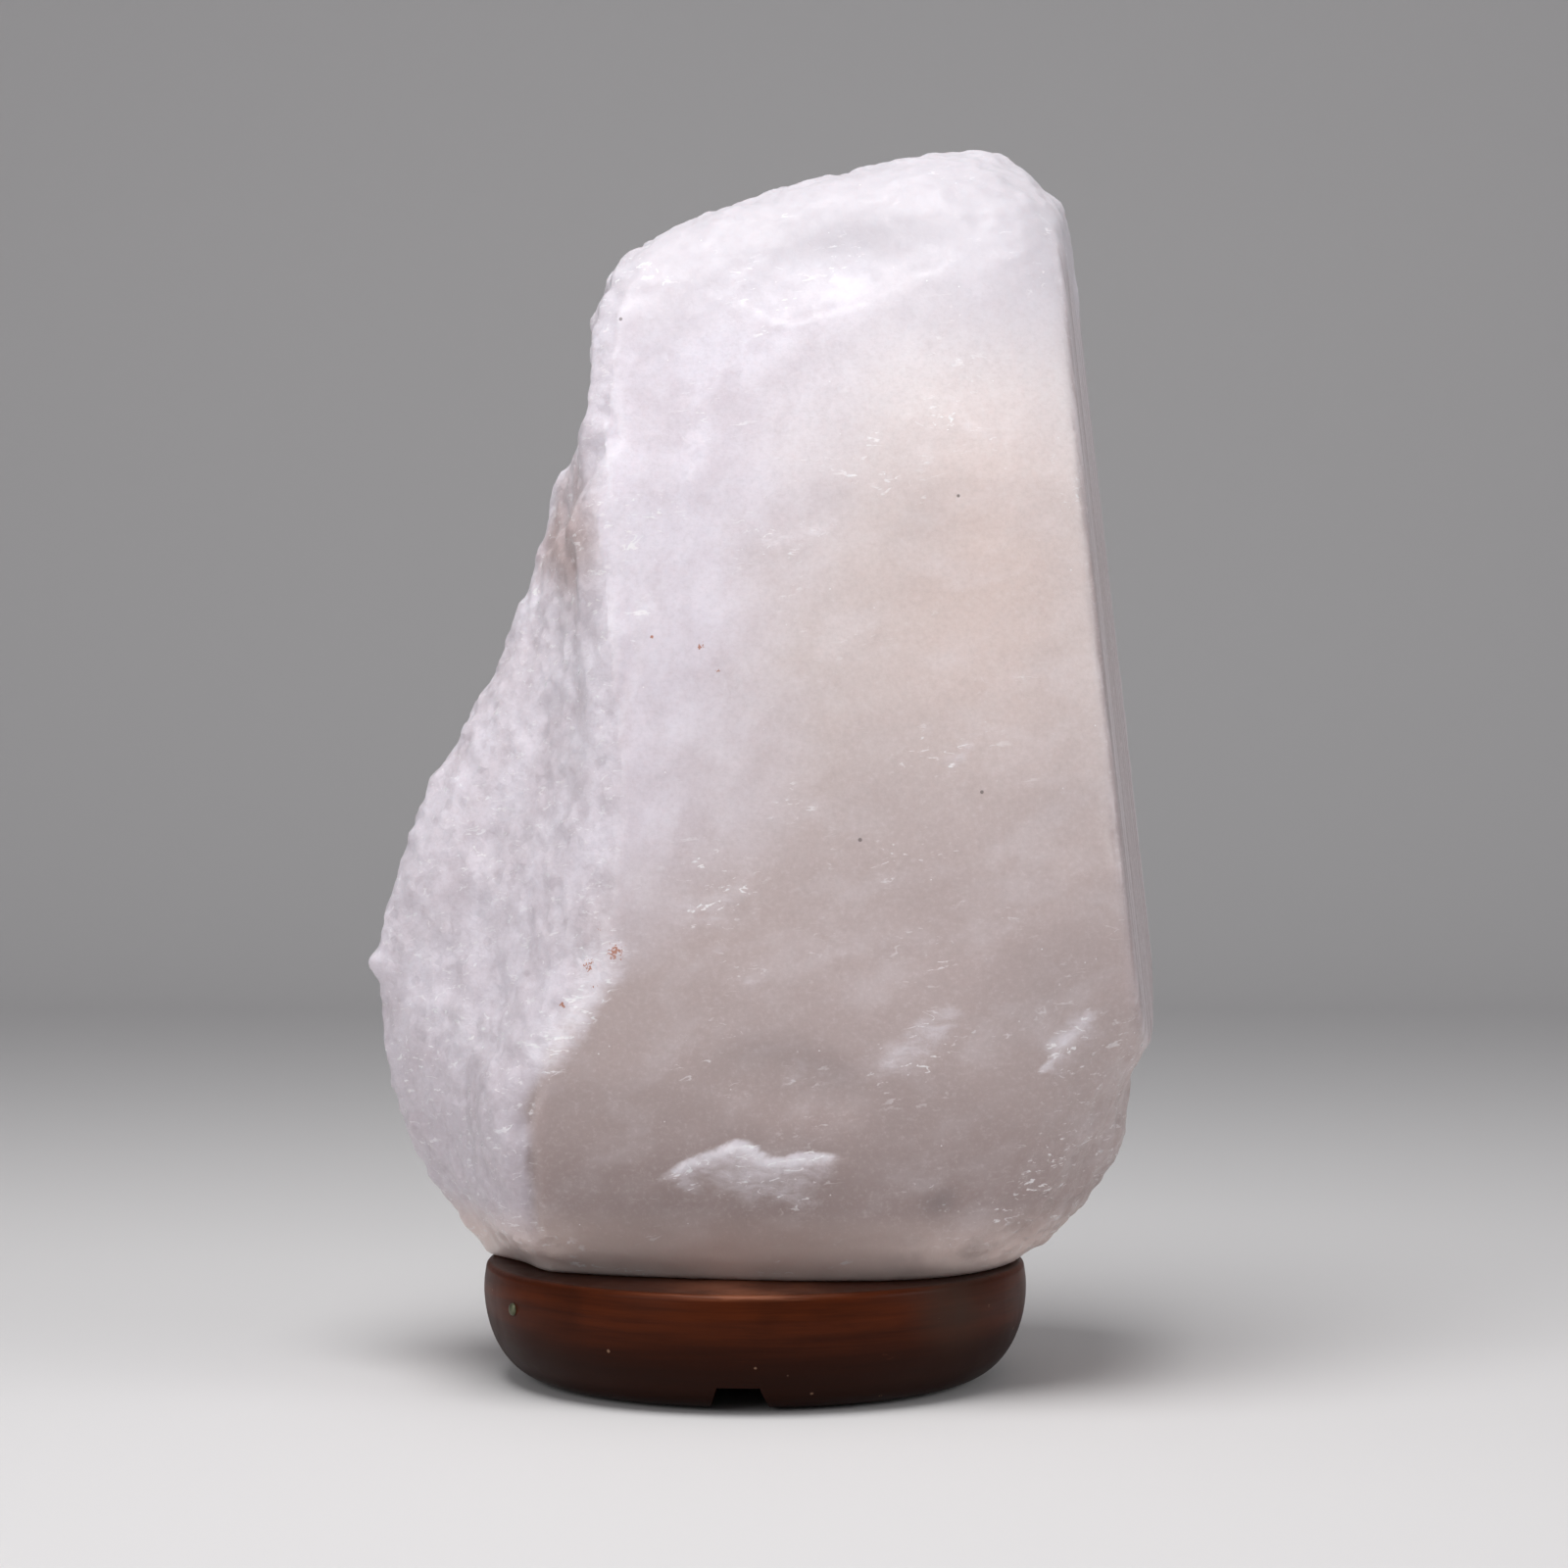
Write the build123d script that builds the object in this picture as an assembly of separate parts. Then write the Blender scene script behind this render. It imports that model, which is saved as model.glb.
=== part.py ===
from build123d import *

import os
from collections import namedtuple
from math import cos, radians, sin

# Salt crystal lamp: a sawn and broken block of rock salt on a turned wooden puck, with the
# lampholder and its bulb clipped into a bore from below.
#
# Millimetres, +Z up.  The origin is on the lamp's axis at the height of the table, the front
# face of the crystal looks along -Y and the cord channel leaves the base at the front.

# ---------------------------------------------------------------- driving dimensions

# Wooden base
base_radius = 57.5  # at the widest point of the bulging side
base_foot_radius = 44.8  # edge of the flat underside
base_top_radius = 56.9
base_height = 24.5  # table to the seat of the crystal
base_bulge_height = 19.2  # table to the widest point
base_ground_gap = 0.4  # the felt keeps the wood this far off the table
base_top_edge = 1.4  # rounding of the upper rim
base_hole_radius = 24.0
hole_edge = 0.8  # chamfer at the bottom of the hole

# Cord channel in the underside of the base
channel_width = 12.4
channel_top_width = 8.6
channel_height = 5.6  # above the table
channel_angle = -93.2  # direction in which it leaves the hole, degrees from +X

# Felt ring
felt_thickness = 1.2
felt_inner_radius = 28.0
felt_outer_radius = 43.4
felt_margin = 0.4  # between the felt and the edge of its recess

# Screws and wall plugs that hold the base to the crystal
screw_count = 3
screw_circle_radius = 36.0
screw_first_angle = 90.0
screw_radius = 1.8
screw_length = 34.0  # below the head
screw_head_radius = 4.0
screw_head_height = 2.6
screw_slot_width = 1.2  # of each arm of the cross in the head
screw_slot_length = 5.0
screw_counterbore_radius = 5.0
screw_counterbore_depth = 8.5
plug_radius = 4.0
plug_length = 28.0
plug_slot = 1.0

# Small domed pin in the side of the base
pin_head_radius = 1.3
pin_head_height = 0.8
pin_shank_radius = 0.55
pin_length = 9.0
pin_height = 17.7
pin_angle = -149.0

# Crystal
bore_radius = 23.0
bore_depth = 110.0
bore_end_rounding = 4.0
saw_lean = 6.2  # the sawn right face leans in towards the top
saw_toe = 8.4  # and turns a little towards the front
saw_reach = 83.0  # its distance from the axis, at the height below
saw_height = 65.0  # above the foot of the crystal

# Lampholder, measured upwards from the underside of its cap
holder_height = 18.0  # table to the underside of the cap
holder_radius = 13.5
cap_height = 14.0
cap_wall = 1.7
cap_floor = 2.5
boss_radius = 7.6
boss_height = 7.0
body_height = 28.0
body_lip_radius = 12.4
body_lip_height = 6.0  # length of the taper up to the lip
neck_height = 5.5  # part of the body that reaches down into the cap
body_wall = 1.8
socket_radius = 8.7
insert_height = 5.5
insert_below_ledge = 6.8  # from the foot of the body's shoulder up to the ledge
shell_radius = 7.6
shell_wall = 0.35
shell_height = 17.0
shell_hole_radius = 4.6
contact_width = 4.0
contact_leaf = 0.4
contact_rise = 3.1
terminal_width = 4.0
terminal_depth = 5.0
terminal_height = 5.8
terminal_spacing = 11.0
terminal_screw_radius = 1.2
terminal_head_radius = 1.8
terminal_head_height = 1.1
terminal_slot_width = 0.5

# Threaded nipple with its nut and washer
nipple_radius = 5.0
nipple_bore_radius = 3.6
nipple_length = 13.5
nipple_below_nut = 1.0
nut_across_flats = 14.0
nut_height = 3.0
washer_radius = 8.0
washer_thickness = 0.8

# Spring clip
clip_thickness = 0.6
clip_width = 8.0
clip_middle_width = 15.0
clip_corner_radius = 2.0
clip_reach = 14.2  # half the length of the flat middle
clip_gap = 0.2  # between the flat middle and the root of each arm
arm_elbow_height = 22.3  # above the flat middle
arm_tip_height = 32.3
arm_tip_inset = 5.2  # the tip is this much nearer the axis than the elbow
arm_bend_radius = 1.2

# Bulb
bulb_contact_radius = 2.4
bulb_contact_height = 1.3
bulb_insulator_height = 2.4
bulb_cap_radius = 6.75
bulb_cap_height = 15.0
bulb_cap_wall = 0.35
bulb_neck_radius = 6.2
bulb_neck_overlap = 4.0  # glass inside the cap
bulb_neck_straight = 1.0  # straight neck above the cap
bulb_glass_radius = 14.0
bulb_glass_height = 36.5  # cap rim to the top of the glass
bulb_glass_wall = 0.6
stem_radius = 2.0
stem_bore_radius = 1.1
stem_flare = 1.2
stem_height = 17.0  # cap rim to the top of the stem
lead_radius = 0.3
lead_spread = 5.6
filament_radius = 0.22
filament_rise = 3.2
filament_height = 22.5  # cap rim to the ends of the filament

# Clearances and cuts
running_gap = 0.3  # between pieces that move past each other
seat_gap = 0.05  # between a shaft or thread and its hole
slip_gap = 0.15  # between a cover and what it slides over
cut_margin = 2.0  # how far a cut runs on past the surface that it opens

# ---------------------------------------------------------------- crystal block

# The rough block, level by level from its sawn foot to its top.  Heights are above the foot.
# A level tilts where the height at its left end differs from that at its right end.
# left, right: the ends of the level in the front view.  ridge: where the rough left face
# meets the front face.  corner: where the front face ends on the right.
# front, back: how far the block reaches towards and away from the viewer.
Level = namedtuple("Level", "left left_height right right_height ridge corner front back")
crystal_levels = [
    Level(-57, 0, 51, 0, -41, 40, -37, 44),
    Level(-66, 11, 62, 11, -45, 49, -44, 50),
    Level(-75, 26, 72, 26, -48, 59, -49, 55),
    Level(-79, 42, 72, 42, -44, 64, -52, 58),
    Level(-82, 62, 89, 60, -30, 74, -53, 58),
    Level(-76, 83, 90, 83, -26, 77, -52, 56),
    Level(-68, 103, 88, 103, -27, 75, -50, 53),
    Level(-57, 123, 86, 123, -29, 73, -47, 49),
    Level(-49, 143, 83, 143, -32, 72, -44, 45),
    Level(-44, 162, 81, 162, -35, 70, -41, 42),
    Level(-35, 180, 78, 183, -31, 67, -36, 37),
    Level(-36, 199, 74, 209, -30, 63, -31, 33),
    Level(-31, 211, 66, 221, -25, 58, -26, 29),
    Level(-18, 219, 59, 228, -14, 51, -21, 25),
    Level(-2, 225, 55, 233, 0, 46, -15, 19),
    Level(18, 231, 51, 237.5, 20, 43, -7, 12),
]
left_end_depth = 4.0  # y of the left end of a level
right_end_depth = 24.0  # y of its right end
ridge_setback = 5.0  # the ridge lies behind the front by this much
foot_tuck = 7.0  # and by this much more at the foot
foot_tuck_height = 30.0  # height by which that has run out
corner_setback = 5.0
left_face_hollow = 0.3  # the left face dips this far between the ridge and the left end
back_corner_share = 0.72  # how square the back of a level is

# Conchoidal scars where flakes have come off: centre, then width, depth into it, height and
# how far the flake leans, which puts the deep end of its scar at the top or at the bottom
Scar = namedtuple("Scar", "x y height width thickness tall lean")
crystal_scars = [
    Scar(1, -54, 37, 46, 10, 26, -12),
    Scar(63, -52, 51, 24, 8, 24, -14),
    Scar(12, -31.5, 216, 50, 13, 30, 24),
    Scar(-44, -21, 168, 16, 16, 36, 20),
]

# Broad shallow scars on the broken faces, where larger flakes have come off: the direction in
# which one lies from the middle of the block, in degrees from +X, its height, the radius of its
# hollow and how deep it is
Flake = namedtuple("Flake", "turn height radius depth")
crystal_flakes = [
    Flake(212, 52, 60, 2.2),
    Flake(204, 96, 52, 2.4),
    Flake(196, 134, 46, 2.0),
    Flake(158, 36, 48, 3.0),
    Flake(150, 78, 58, 3.4),
    Flake(146, 122, 56, 3.4),
    Flake(140, 170, 46, 3.0),
    Flake(112, 52, 60, 3.0),
    Flake(104, 100, 62, 3.2),
    Flake(98, 150, 56, 3.0),
    Flake(92, 196, 46, 2.6),
    Flake(66, 70, 62, 3.0),
    Flake(58, 126, 60, 3.0),
    Flake(54, 180, 50, 2.6),
    Flake(28, 30, 44, 2.6),
    Flake(-24, 26, 40, 2.2),
]

# ---------------------------------------------------------------- derived places

crystal_foot = base_height
screw_angles = [screw_first_angle + i * 360 / screw_count for i in range(screw_count)]
screw_seat = base_ground_gap + screw_counterbore_depth
felt_recess_depth = felt_thickness - base_ground_gap

holder_inner_radius = holder_radius - cap_wall
neck_radius = holder_inner_radius - slip_gap
neck_bore_radius = neck_radius - body_wall
body_foot = holder_height + cap_height
body_top = body_foot + body_height
ledge_height = body_foot + insert_below_ledge
insert_radius = neck_bore_radius - slip_gap
insert_foot = ledge_height - insert_height
shell_inner_radius = shell_radius - shell_wall

clip_foot = holder_height - clip_thickness
clip_middle = holder_height - clip_thickness / 2
washer_foot = clip_foot - washer_thickness
nut_foot = washer_foot - nut_height
nipple_foot = nut_foot - nipple_below_nut

# The elbow's outer corners stay inside the bore by the running gap.
elbow_reach = ((bore_radius - running_gap) ** 2 - (clip_width / 2) ** 2) ** 0.5

bulb_foot = ledge_height + contact_rise + contact_leaf + running_gap
bulb_insulator_foot = bulb_foot + bulb_contact_height
bulb_cap_foot = bulb_insulator_foot + bulb_insulator_height
bulb_cap_top = bulb_cap_foot + bulb_cap_height


def at_angle(radius, angle, z=0):
    return (radius * cos(radians(angle)), radius * sin(radians(angle)), z)


def post(radius, foot, top, x=0, y=0):
    """An upright cylinder between two heights."""
    return Pos(x, y, foot) * Cylinder(radius, top - foot, align=(Align.CENTER, Align.CENTER, Align.MIN))


def tube(outer, inner, foot, top):
    return post(outer, foot, top) - post(inner, foot - cut_margin, top + cut_margin)


def cone(foot_radius, top_radius, foot, height, x=0, y=0):
    upright = (Align.CENTER, Align.CENTER, Align.MIN)
    return Pos(x, y, foot) * Cone(foot_radius, top_radius, height, align=upright)


def turned(*edges):
    """A solid of revolution about Z from the closed outline of its half section."""
    return revolve(Plane.XZ * make_face(edges), Axis.Z)


# ---------------------------------------------------------------- crystal and base


def level_wire(level):
    """One closed level of the rough block, as a smooth line through its corners."""
    middle = (level.ridge + level.corner) / 2
    back_left = middle + (level.left - middle) * back_corner_share
    back_right = middle + (level.right - middle) * back_corner_share
    tuck = foot_tuck * max(0, 1 - level.left_height / foot_tuck_height)
    ridge_depth = level.front + ridge_setback + tuck
    plan = [
        (level.ridge, ridge_depth),
        (middle, level.front),
        (level.corner, level.front + corner_setback),
        (level.right, min(right_end_depth, level.back / 2)),
        (back_right, level.back * back_corner_share),
        (middle, level.back),
        (back_left, level.back * back_corner_share),
        (level.left, left_end_depth),
        (
            (level.ridge + level.left) / 2 + left_face_hollow,
            (ridge_depth + left_end_depth) / 2 + left_face_hollow,
        ),
    ]
    slope = (level.right_height - level.left_height) / (level.right - level.left)
    points = [
        (x, y, crystal_foot + level.left_height + slope * (x - level.left)) for x, y in plan
    ]
    return Wire([Edge.make_spline([Vector(*point) for point in points], periodic=True)])


def saw_plane():
    """The plane of the sawn right face, facing out of the crystal."""
    normal = (
        cos(radians(saw_lean)) * cos(radians(saw_toe)),
        -cos(radians(saw_lean)) * sin(radians(saw_toe)),
        sin(radians(saw_lean)),
    )
    return Plane(origin=(saw_reach, 0, crystal_foot + saw_height), z_dir=normal)


def scar_cut(scar):
    """The flattened ball that a conchoidal scar is scooped out with."""
    ball = scale(Sphere(1), by=(scar.width / 2, scar.thickness / 2, scar.tall / 2))
    return Pos(scar.x, scar.y, crystal_foot + scar.height) * Rot(scar.lean, 0, 0) * ball


def flake_cut(block, flake):
    """The ball whose cap is missing from the block where a broad flake has come off."""
    nearest = min(crystal_levels, key=lambda level: abs(level.left_height - flake.height))
    middle = ((nearest.left + nearest.right) / 2, 0, crystal_foot + flake.height)
    outwards = Vector(*at_angle(1, flake.turn))
    hits = block.find_intersection_points(Axis(middle, outwards))
    surface, normal = max(hits, key=lambda hit: (hit[0] - Vector(*middle)).dot(outwards))
    centre = surface + normal * (flake.radius - flake.depth)
    return Pos(*centre) * Sphere(flake.radius)


def salt_crystal():
    block = Solid.make_loft([level_wire(level) for level in crystal_levels], ruled=True)
    for cut in [flake_cut(block, flake) for flake in crystal_flakes]:
        block -= cut
    offcut = 2 * max(level.right_height for level in crystal_levels)
    block -= saw_plane() * Box(offcut, offcut, offcut, align=(Align.CENTER, Align.CENTER, Align.MIN))
    for scar in crystal_scars:
        block -= scar_cut(scar)
    bore = post(bore_radius, crystal_foot, crystal_foot + bore_depth)
    block -= fillet(bore.edges().sort_by(Axis.Z)[-1], bore_end_rounding)
    for angle in screw_angles:
        x, y, _ = at_angle(screw_circle_radius, angle)
        block -= post(plug_radius, crystal_foot, crystal_foot + plug_length + cut_margin, x, y)
    return block


def wood_base():
    foot = base_ground_gap
    bulge_width = base_radius - base_foot_radius
    bulge_drop = base_bulge_height - foot
    lower_side = EllipticalCenterArc(
        (base_foot_radius, base_bulge_height), bulge_width, bulge_drop, start_angle=270, arc_size=90
    )
    upper_side = Spline(
        (base_radius, base_bulge_height),
        (base_top_radius, base_height),
        tangents=[(0, 1), (base_top_radius - base_radius, base_height - base_bulge_height)],
    )
    puck = turned(
        lower_side,
        upper_side,
        Polyline(
            (base_top_radius, base_height), (0, base_height), (0, foot), (base_foot_radius, foot)
        ),
    )
    rim = puck.edges().filter_by(GeomType.CIRCLE).sort_by(Axis.Z)[-1]
    puck = fillet(rim, base_top_edge)
    hole = post(base_hole_radius, 0, base_height)
    hole_foot = cone(base_hole_radius + hole_edge, base_hole_radius, foot, hole_edge)
    recess = tube(
        felt_outer_radius + felt_margin, felt_inner_radius - felt_margin, 0, foot + felt_recess_depth
    )
    puck = puck - hole - hole_foot - recess - cord_channel()
    for angle in screw_angles:
        x, y, _ = at_angle(screw_circle_radius, angle)
        puck -= post(screw_counterbore_radius, 0, screw_seat, x, y)
        puck -= post(screw_radius + slip_gap, 0, base_height, x, y)
    return puck - pin_placed(pin_shank(pin_shank_radius + seat_gap))


def cord_channel(margin=0.0):
    """The groove for the cord, from the hole out through the side, widened by a margin."""
    bottom = channel_width / 2 + margin
    top = channel_top_width / 2 + margin
    section = Polyline(
        (-bottom, -cut_margin),
        (bottom, -cut_margin),
        (bottom, 0),
        (top, channel_height),
        (-top, channel_height),
        (-bottom, 0),
        close=True,
    )
    outwards = Vector(*at_angle(1, channel_angle))
    across = outwards.cross(Vector(0, 0, -1))
    leaving = Plane(origin=(0, 0, 0), x_dir=across, z_dir=outwards)
    return extrude(leaving * make_face(section), base_radius + cut_margin)


def felt_ring():
    ring = tube(felt_outer_radius, felt_inner_radius, 0, felt_thickness)
    return ring - cord_channel(margin=felt_margin)


def wall_plug(x, y):
    plug = post(plug_radius - seat_gap, crystal_foot, crystal_foot + plug_length, x, y)
    plug -= post(screw_radius + seat_gap, 0, crystal_foot + plug_length + cut_margin, x, y)
    slit = Box(plug_slot, 2 * plug_radius, plug_length)
    return plug - Pos(x, y, crystal_foot + plug_length) * slit


def base_screw(x, y):
    head_foot = screw_seat - screw_head_height
    head = post(screw_head_radius, head_foot, screw_seat, x, y)
    head = chamfer(head.edges().sort_by(Axis.Z)[0], screw_head_height / 3)
    point_height = 3 * screw_radius
    shank_top = screw_seat + screw_length - point_height
    shank = post(screw_radius, screw_seat, shank_top, x, y)
    point = cone(screw_radius, screw_radius / 6, shank_top, point_height, x, y)
    slot = Box(screw_slot_width, screw_slot_length, screw_head_height)
    return head + shank + point - Pos(x, y, head_foot) * (slot + Rot(0, 0, 90) * slot)


def on_screw_circle(make):
    places = [at_angle(screw_circle_radius, angle) for angle in screw_angles]
    return Compound([make(x, y) for x, y, _ in places])


def pin_shank(radius):
    return Cylinder(radius, pin_length, align=(Align.CENTER, Align.CENTER, Align.MAX))


def pin_placed(shape):
    """Stands a shape on the side of the base at the pin, its own +Z pointing outwards."""
    surface = Plane(origin=at_angle(base_radius, pin_angle, pin_height), z_dir=at_angle(1, pin_angle))
    return surface * shape


def side_pin():
    dome = Sphere(pin_head_radius, arc_size1=0, align=(Align.CENTER, Align.CENTER, Align.MIN))
    flattened = scale(dome, by=(1, 1, pin_head_height / pin_head_radius))
    return pin_placed(pin_shank(pin_shank_radius) + flattened)


# ---------------------------------------------------------------- lampholder


def holder_cap():
    top = holder_height + cap_height
    cap = post(holder_radius, holder_height, top)
    cap = fillet(cap.edges().sort_by(Axis.Z)[0], cap_floor / 2)
    cap -= post(holder_inner_radius, holder_height + cap_floor, top)
    cap += post(boss_radius, holder_height + cap_floor, holder_height + boss_height)
    return cap - post(nipple_radius + seat_gap, 0, top)


def holder_body():
    outline = Polyline(
        (socket_radius, body_top),
        (body_lip_radius, body_top),
        (holder_radius, body_top - body_lip_height),
        (holder_radius, body_foot),
        (neck_radius, body_foot),
        (neck_radius, body_foot - neck_height),
        (neck_bore_radius, body_foot - neck_height),
        (neck_bore_radius, ledge_height),
        (socket_radius, ledge_height),
        close=True,
    )
    return turned(outline)


def holder_insert():
    return post(insert_radius, insert_foot, ledge_height)


def thread_shell():
    shell = tube(shell_radius, shell_inner_radius, ledge_height, ledge_height + shell_height)
    return shell + tube(shell_radius, shell_hole_radius, ledge_height, ledge_height + shell_wall)


def centre_contact():
    """A leaf folded back over its own foot, that rises under the bulb's contact."""
    half = contact_width / 2
    foot = ledge_height
    rise = foot + contact_rise
    fold = half - 2 * contact_leaf
    outline = Polyline(
        (half, foot),
        (-half, foot),
        (-half, foot + contact_leaf),
        (fold, foot + contact_leaf),
        (half, rise),
        (-half, rise),
        (-half, rise + contact_leaf),
        (half + contact_leaf, rise + contact_leaf),
        close=True,
    )
    return extrude(Plane.XZ * make_face(outline), contact_width / 2, both=True)


def terminal_places():
    return [(side * terminal_spacing / 2, insert_foot - terminal_height / 2) for side in (-1, 1)]


def terminal_blocks():
    blocks = []
    for x, z in terminal_places():
        block = Box(terminal_width, terminal_depth, terminal_height)
        hole = Rot(90, 0, 0) * Cylinder(terminal_screw_radius + seat_gap, 2 * terminal_depth)
        blocks.append(Pos(x, 0, z) * (block - hole))
    return Compound(blocks)


def terminal_screw():
    """A slotted screw along +Z, the underside of its head at the origin."""
    head = post(terminal_head_radius, 0, terminal_head_height)
    shank = post(terminal_screw_radius, -terminal_depth, 0)
    slot = Box(terminal_slot_width, 2 * terminal_head_radius, terminal_head_height)
    return head + shank - Pos(0, 0, terminal_head_height) * slot


def terminal_screws():
    front = -terminal_depth / 2
    places = [Plane(origin=(x, front, z), z_dir=(0, -1, 0)) for x, z in terminal_places()]
    return Compound([place * terminal_screw() for place in places])


def nipple():
    return tube(nipple_radius, nipple_bore_radius, nipple_foot, nipple_foot + nipple_length)


def lock_nut():
    hexagon = RegularPolygon(nut_across_flats / 2, 6, major_radius=False)
    nut = Pos(0, 0, nut_foot) * extrude(hexagon, nut_height)
    return nut - post(nipple_radius + seat_gap, 0, holder_height)


def lock_washer():
    return tube(washer_radius, nipple_radius + seat_gap, washer_foot, clip_foot)


def clip_plate():
    middle = Box(clip_middle_width, clip_middle_width, clip_thickness)
    strip = Box(2 * clip_reach, clip_width, clip_thickness)
    plate = Pos(0, 0, clip_middle) * (middle + strip)
    outer_corners = plate.edges().filter_by(Axis.Z).filter_by(
        lambda edge: abs(edge.center().Y) > clip_width / 2 + seat_gap
    )
    plate = fillet(outer_corners, clip_corner_radius)
    return plate - post(nipple_radius + seat_gap, 0, body_top)


def clip_arm():
    """The right spring arm: up and out to its elbow, then back in."""
    outside = elbow_reach - clip_thickness / 2
    root = clip_reach + clip_gap + clip_thickness / 2
    bent = Polyline(
        (root, clip_middle),
        (outside, clip_middle + arm_elbow_height),
        (outside - arm_tip_inset, clip_middle + arm_tip_height),
    )
    elbow = bent.vertices().sort_by(Axis.X)[-1]
    route = Plane.XZ * fillet(elbow, arm_bend_radius)
    section = Plane(origin=route @ 0, x_dir=(0, 1, 0), z_dir=route % 0)
    return sweep(section * Rectangle(clip_width, clip_thickness), path=route)


# ---------------------------------------------------------------- bulb


def bulb_contact():
    button = post(bulb_contact_radius, bulb_foot, bulb_insulator_foot)
    return fillet(button.edges().sort_by(Axis.Z)[0], bulb_contact_height / 2)


def bulb_insulator():
    top_radius = bulb_cap_radius - bulb_cap_wall - seat_gap
    return cone(bulb_contact_radius, top_radius, bulb_insulator_foot, bulb_insulator_height)


def bulb_cap():
    return tube(bulb_cap_radius, bulb_cap_radius - bulb_cap_wall, bulb_cap_foot, bulb_cap_top)


def glass_outline(inset):
    """Half section of the pear-shaped glass, from its neck to its top, moved in by the inset."""
    neck = bulb_neck_radius - inset
    widest = bulb_glass_radius - inset
    foot = bulb_cap_top - bulb_neck_overlap
    top = bulb_cap_top + bulb_glass_height - inset
    widest_height = top - widest
    straight_top = bulb_cap_top + bulb_neck_straight
    straight = Line((neck, foot), (neck, straight_top))
    flank = Spline((neck, straight_top), (widest, widest_height), tangents=[(0, 1), (0, 1)])
    dome = RadiusArc((widest, widest_height), (0, top), -widest)
    axis = Polyline((0, top), (0, foot), (neck, foot))
    return turned(straight, flank, dome, axis)


def bulb_glass():
    return glass_outline(0) - glass_outline(bulb_glass_wall)


def glass_stem():
    """The stem with the flare that closes the neck of the bulb."""
    foot = bulb_cap_top - bulb_neck_overlap
    flare_radius = bulb_neck_radius - bulb_glass_wall - seat_gap
    stem = post(flare_radius, foot, foot + stem_flare)
    stem += post(stem_radius, foot, bulb_cap_top + stem_height)
    return stem - post(stem_bore_radius, foot - cut_margin, bulb_cap_top + stem_height / 2)


def wire(radius, *points):
    """A round wire along a line through some points."""
    route = Polyline(*points) if len(points) > 2 else Line(*points)
    section = Plane(origin=route @ 0, z_dir=route % 0) * Circle(radius)
    return sweep(section, path=route, transition=Transition.ROUND)


def lead_wires():
    """Two wires beside the stem, out of its flare and up to the ends of the filament."""
    foot = bulb_cap_top - bulb_neck_overlap + stem_flare
    beside = stem_radius + lead_radius + seat_gap
    stem_top = bulb_cap_top + stem_height
    filament_end = bulb_cap_top + filament_height - filament_radius
    leads = []
    for side in (-1, 1):
        bend = (side * beside, 0, stem_top)
        end = (side * lead_spread, 0, filament_end)
        leads.append(wire(lead_radius, (side * beside, 0, foot), bend, end))
    return Compound(leads)


def filament_arc():
    ends = bulb_cap_top + filament_height
    return ThreePointArc((-lead_spread, 0, ends), (0, 0, ends + filament_rise), (lead_spread, 0, ends))


def filament():
    arc = filament_arc()
    return sweep(Plane(origin=arc @ 0, z_dir=arc % 0) * Circle(filament_radius), path=arc)


def filament_supports():
    """Two thin wires from just above the stem to just under the filament."""
    arc = filament_arc()
    root_height = bulb_cap_top + stem_height + lead_radius
    supports = []
    for along, side in ((0.3, -1), (0.7, 1)):
        root = (side * stem_radius / 2, 0, root_height)
        hook = arc @ along
        end = (hook.X, 0, hook.Z - filament_radius - seat_gap)
        supports.append(wire(lead_radius / 2, root, end))
    return Compound(supports)


# ---------------------------------------------------------------- the pieces

pieces = {
    "salt_crystal": salt_crystal(),
    "wood_base": wood_base(),
    "felt_ring": felt_ring(),
    "wall_plugs": on_screw_circle(wall_plug),
    "base_screws": on_screw_circle(base_screw),
    "side_pin": side_pin(),
    "holder_cap": holder_cap(),
    "holder_body": holder_body(),
    "holder_insert": holder_insert(),
    "thread_shell": thread_shell(),
    "centre_contact": centre_contact(),
    "terminal_blocks": terminal_blocks(),
    "terminal_screws": terminal_screws(),
    "nipple": nipple(),
    "lock_nut": lock_nut(),
    "lock_washer": lock_washer(),
    "clip_plate": clip_plate(),
    "clip_arm_right": clip_arm(),
    "clip_arm_left": mirror(clip_arm(), about=Plane.YZ),
    "bulb_contact": bulb_contact(),
    "bulb_insulator": bulb_insulator(),
    "bulb_cap": bulb_cap(),
    "bulb_glass": bulb_glass(),
    "glass_stem": glass_stem(),
    "lead_wires": lead_wires(),
    "filament": filament(),
    "filament_supports": filament_supports(),
}

os.makedirs("parts", exist_ok=True)
for name, piece in pieces.items():
    export_step(piece, f"parts/{name}.step")
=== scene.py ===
"""Looks of the salt crystal lamp: rock salt on a stained wooden puck, with its lampholder and
bulb inside.  Metres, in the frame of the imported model; shapes are worked in millimetres."""

from math import cos, radians, sin

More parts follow.
